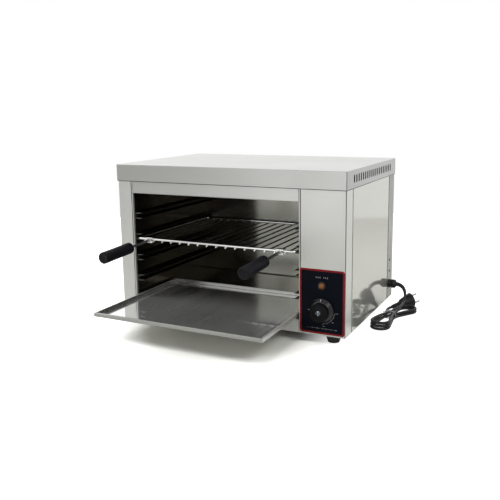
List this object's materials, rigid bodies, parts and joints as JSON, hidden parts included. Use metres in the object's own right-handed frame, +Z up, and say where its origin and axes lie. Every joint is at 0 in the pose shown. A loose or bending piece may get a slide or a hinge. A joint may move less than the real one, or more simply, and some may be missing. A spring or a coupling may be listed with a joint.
{
  "type": "cheese melter",
  "caption": "Countertop electric cheese melter: steel case, open cavity with guide levels, pull-out rack with handles, sliding drip tray, thermostat knob and mains lead.",
  "frame": {"origin": "on the table plane, at the middle of the footprint without the mains lead: midway between the cover's ends, and midway between the handle grips' front ends and the back screws' heads", "axes": "+X to the right as seen from the front, towards the control column; +Y from the open front to the back; +Z up"},
  "size_m": [0.665, 0.5549, 0.374],
  "materials": {
    "satin_steel": "fine brushed stainless sheet",
    "bright_steel": "bright annealed stainless sheet",
    "sheath": "heat-darkened element sheath",
    "ceramic": "unglazed ceramic",
    "plated_wire": "plated steel rod",
    "black_bakelite": "moulded satin black",
    "label_navy": "printed dark blue film",
    "label_red": "printed dark red edge",
    "black_plastic": "moulded black",
    "amber_lens": "amber moulded lens",
    "copper": "drawn copper tube",
    "knob_black": "moulded matte black",
    "knob_gloss": "moulded gloss black",
    "chrome": "bright plated",
    "wire_insulation": "silicone-insulated wire",
    "brass": "turned brass",
    "foot_rubber": "moulded black rubber",
    "screw_steel": "plated screws",
    "cord_rubber": "black flexible sheath",
    "clear_tie": "translucent tie",
    "plug_black": "moulded black"
  },
  "bodies": {
    "casing": {"top_cover": "satin_steel", "front_left_post": "satin_steel", "front_top_rail": "satin_steel", "front_sill": "satin_steel", "control_panel": "satin_steel", "left_side_panel": "bright_steel", "right_side_panel": "bright_steel", "back_panel": "satin_steel", "base_pan": "satin_steel", "left_liner": "bright_steel", "right_liner": "bright_steel", "back_liner": "bright_steel", "cavity_floor": "bright_steel", "cavity_roof": "bright_steel", "left_guides": "satin_steel", "right_guides": "satin_steel", "element_front": "sheath", "element_middle": "sheath", "element_rear": "sheath", "element_hangers": "satin_steel", "element_bushes": "ceramic", "control_label": "label_navy", "label_border": "label_red", "lamp_holder": "black_plastic", "lamp_lens": "amber_lens", "thermostat_body": "ceramic", "thermostat_nut": "plated_wire", "thermostat_bulb": "copper", "bulb_clips": "satin_steel", "terminal_block": "ceramic", "wiring_loom": "wire_insulation", "earth_stud": "brass", "gland_body": "black_plastic", "gland_dome": "black_plastic", "gland_locknut": "black_plastic", "foot_front_left": "foot_rubber", "foot_front_right": "foot_rubber", "foot_rear_left": "foot_rubber", "foot_rear_right": "foot_rubber", "foot_screws": "screw_steel", "side_screws": "screw_steel", "back_screws": "screw_steel", "cover_screws": "screw_steel", "cord_lead": "cord_rubber", "cord_hank": "cord_rubber", "cord_tie": "clear_tie", "plug_body": "plug_black", "plug_pins": "chrome"},
    "rack": {"rack_frame": "plated_wire", "rack_wires": "plated_wire", "handle_rods": "plated_wire", "handle_clips": "plated_wire", "left_grip": "black_bakelite", "right_grip": "black_bakelite"},
    "tray": {"drip_tray": "bright_steel"},
    "knob": {"thermostat_shaft": "plated_wire", "knob_body": "knob_black", "knob_skirt": "knob_gloss", "knob_cap": "chrome"}
  },
  "joints": [
    {"name": "rack_slide", "type": "slide", "parent": "casing", "child": "rack", "axis": [0, -1, 0], "range_m": [-0.004, 0.25]},
    {"name": "tray_slide", "type": "slide", "parent": "casing", "child": "tray", "axis": [0, -1, 0], "range_m": [-0.17, 0.1]},
    {"name": "knob_turn", "type": "hinge", "parent": "casing", "child": "knob", "pos_m": [0.23565, -0.105, 0.074], "axis": [0, 1, 0], "range_deg": [0, 270]}
  ]
}
